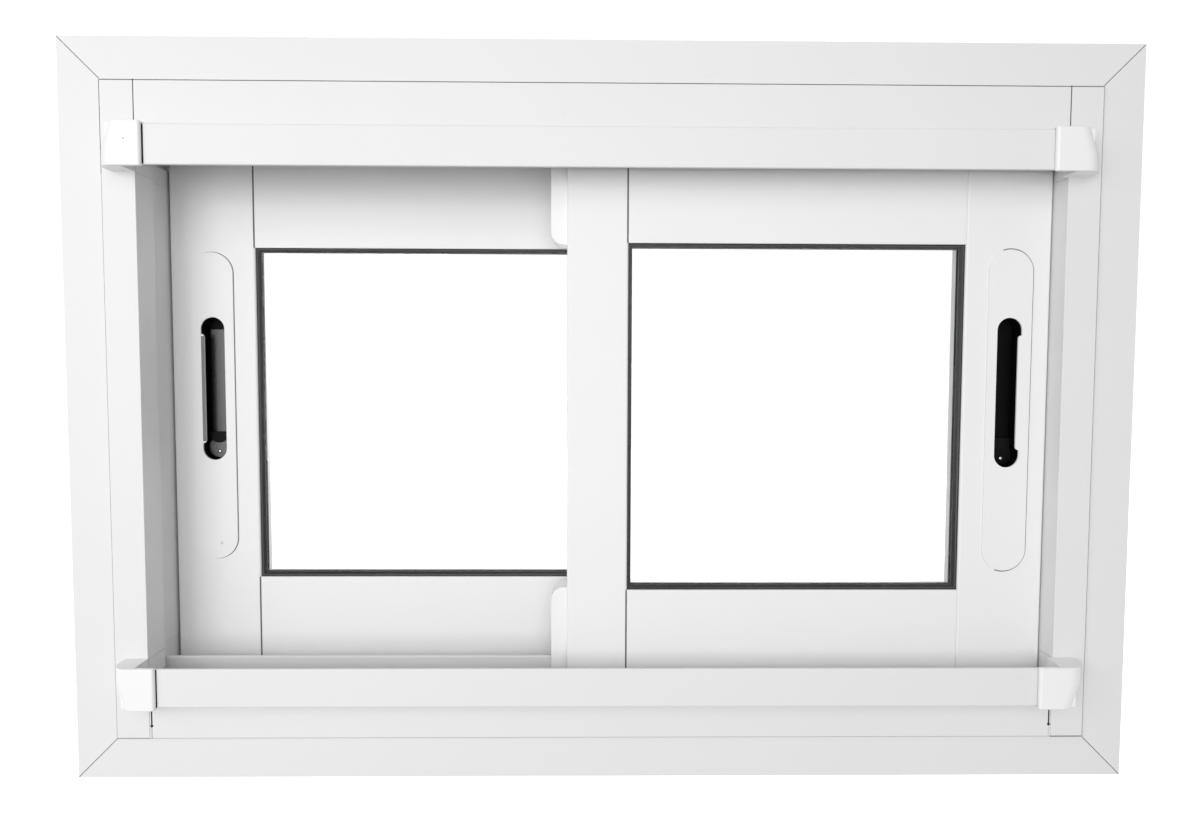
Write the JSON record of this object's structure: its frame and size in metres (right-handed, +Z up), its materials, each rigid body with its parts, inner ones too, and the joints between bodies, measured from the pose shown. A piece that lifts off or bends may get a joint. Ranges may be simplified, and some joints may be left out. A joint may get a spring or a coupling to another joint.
{
  "type": "horizontal sliding window",
  "caption": "White aluminium horizontal sliding window with a trimmed frame, sashes on parallel tracks, recessed pulls and screen guides across its room side.",
  "frame": {"origin": "middle of the sill's underside, halfway between the frame's front and back", "axes": "+X to the right as seen from the room, +Y away from the room through the wall, +Z up"},
  "size_m": [0.65, 0.1012, 0.45],
  "materials": {
    "frame_coating": "white powder coat, satin",
    "trim_coating": "white powder coat, satin",
    "guide_coating": "white powder coat, satin",
    "sash_coating": "white powder coat, satin",
    "pull_coating": "white powder coat, satin",
    "cap_plastic": "white moulded",
    "plug_plastic": "white moulded",
    "clear_glass": "clear float",
    "black_rubber": "matte",
    "black_plastic": "matte",
    "grey_plastic": "satin",
    "nylon": "natural"
  },
  "bodies": {
    "frame": {"head": "frame_coating", "sill": "frame_coating", "left_jamb": "frame_coating", "right_jamb": "frame_coating", "top_trim": "trim_coating", "bottom_trim": "trim_coating", "left_trim": "trim_coating", "right_trim": "trim_coating", "upper_screen_guide": "guide_coating", "lower_screen_guide": "guide_coating", "upper_left_guide_cap": "cap_plastic", "upper_right_guide_cap": "cap_plastic", "lower_left_guide_cap": "cap_plastic", "lower_right_guide_cap": "cap_plastic"},
    "right_sash": {"right_sash_lock_stile": "sash_coating", "right_sash_meeting_stile": "sash_coating", "right_sash_top_rail": "sash_coating", "right_sash_bottom_rail": "sash_coating", "right_sash_glass": "clear_glass", "right_sash_gasket": "black_rubber", "right_sash_pull_plate": "pull_coating", "right_sash_pull_cup": "black_plastic", "right_sash_lock_lever": "grey_plastic", "right_sash_rollers": "nylon", "right_sash_end_plugs": "plug_plastic"},
    "left_sash": {"left_sash_lock_stile": "sash_coating", "left_sash_meeting_stile": "sash_coating", "left_sash_top_rail": "sash_coating", "left_sash_bottom_rail": "sash_coating", "left_sash_glass": "clear_glass", "left_sash_gasket": "black_rubber", "left_sash_pull_plate": "pull_coating", "left_sash_pull_cup": "black_plastic", "left_sash_lock_lever": "grey_plastic", "left_sash_rollers": "nylon", "left_sash_end_plugs": "plug_plastic"}
  },
  "joints": [
    {"name": "right_sash_slide", "type": "slide", "parent": "frame", "child": "right_sash", "axis": [-1, 0, 0], "range_m": [0, 0.24]},
    {"name": "left_sash_slide", "type": "slide", "parent": "frame", "child": "left_sash", "axis": [1, 0, 0], "range_m": [0, 0.24]}
  ]
}
